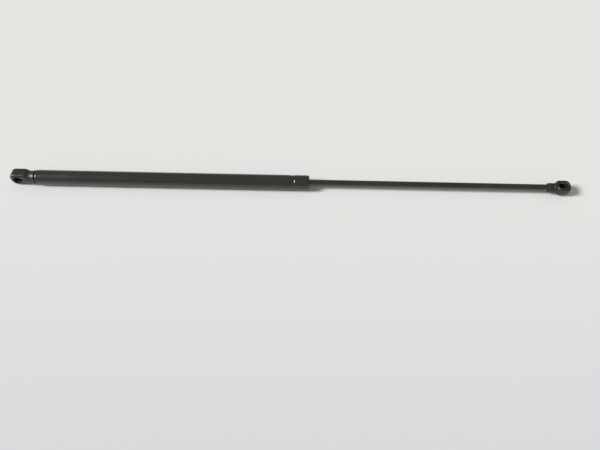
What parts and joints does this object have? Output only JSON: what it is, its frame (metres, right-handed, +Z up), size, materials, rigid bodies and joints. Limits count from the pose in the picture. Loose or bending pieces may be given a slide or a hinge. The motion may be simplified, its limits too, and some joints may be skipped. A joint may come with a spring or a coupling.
{
  "type": "gas strut stay",
  "caption": "Gas strut stay with a black tube, a slim sliding rod and a clipped ball socket on each end.",
  "frame": {"origin": "centre of the ball seat in the tube-end socket", "axes": "+X along the strut from the tube-end ball to the rod-end ball, +Z up with the strut lying on its side, the tube-end socket's mouth facing -Y"},
  "size_m": [0.6727, 0.018, 0.018],
  "materials": {
    "tube_paint": "satin black paint",
    "rod_steel": "dark nitrided, ground smooth",
    "tube_socket_plastic": "smooth moulded, slightly glossy",
    "rod_socket_plastic": "moulded black",
    "clip_steel": "oiled spring steel",
    "turned_steel": "turned",
    "washer_steel": "stamped",
    "seal_rubber": "moulded",
    "guide_plastic": "moulded, glass filled",
    "bush_bronze": "sintered",
    "piston_aluminium": "die cast",
    "ring_plastic": "smooth"
  },
  "bodies": {
    "tube": {"pressure_tube": "tube_paint", "base_plug": "turned_steel", "base_plug_o_ring": "seal_rubber", "tube_end_socket": "tube_socket_plastic", "cover_washer": "washer_steel", "dust_wiper": "seal_rubber", "guide_bush": "bush_bronze", "rod_guide": "guide_plastic", "rod_seal": "seal_rubber", "seal_support": "washer_steel", "stop_buffer": "seal_rubber"},
    "ring": {"piston_ring": "ring_plastic"},
    "rod": {"piston_rod": "rod_steel", "piston_front_washer": "washer_steel", "piston": "piston_aluminium", "metering_disc": "washer_steel", "piston_rear_washer": "washer_steel", "rod_end_socket": "rod_socket_plastic"},
    "tube_clip": {"tube_end_clip": "clip_steel"},
    "rod_clip": {"rod_end_clip": "clip_steel"}
  },
  "joints": [
    {"name": "rod_slide", "type": "slide", "parent": "tube", "child": "ring", "axis": [1, 0, 0], "range_m": [-0.28, 0], "stiffness_N_per_m": 412, "springref_m": 0.85},
    {"name": "rod_spin", "type": "hinge", "parent": "ring", "child": "rod", "pos_m": [0.3, 0, 0], "axis": [1, 0, 0], "continuous": true},
    {"name": "tube_clip_release", "type": "slide", "parent": "tube", "child": "tube_clip", "axis": [-1, 0, 0], "range_m": [0, 0.0075]},
    {"name": "rod_clip_release", "type": "slide", "parent": "rod", "child": "rod_clip", "axis": [1, 0, 0], "range_m": [0, 0.0075]}
  ]
}
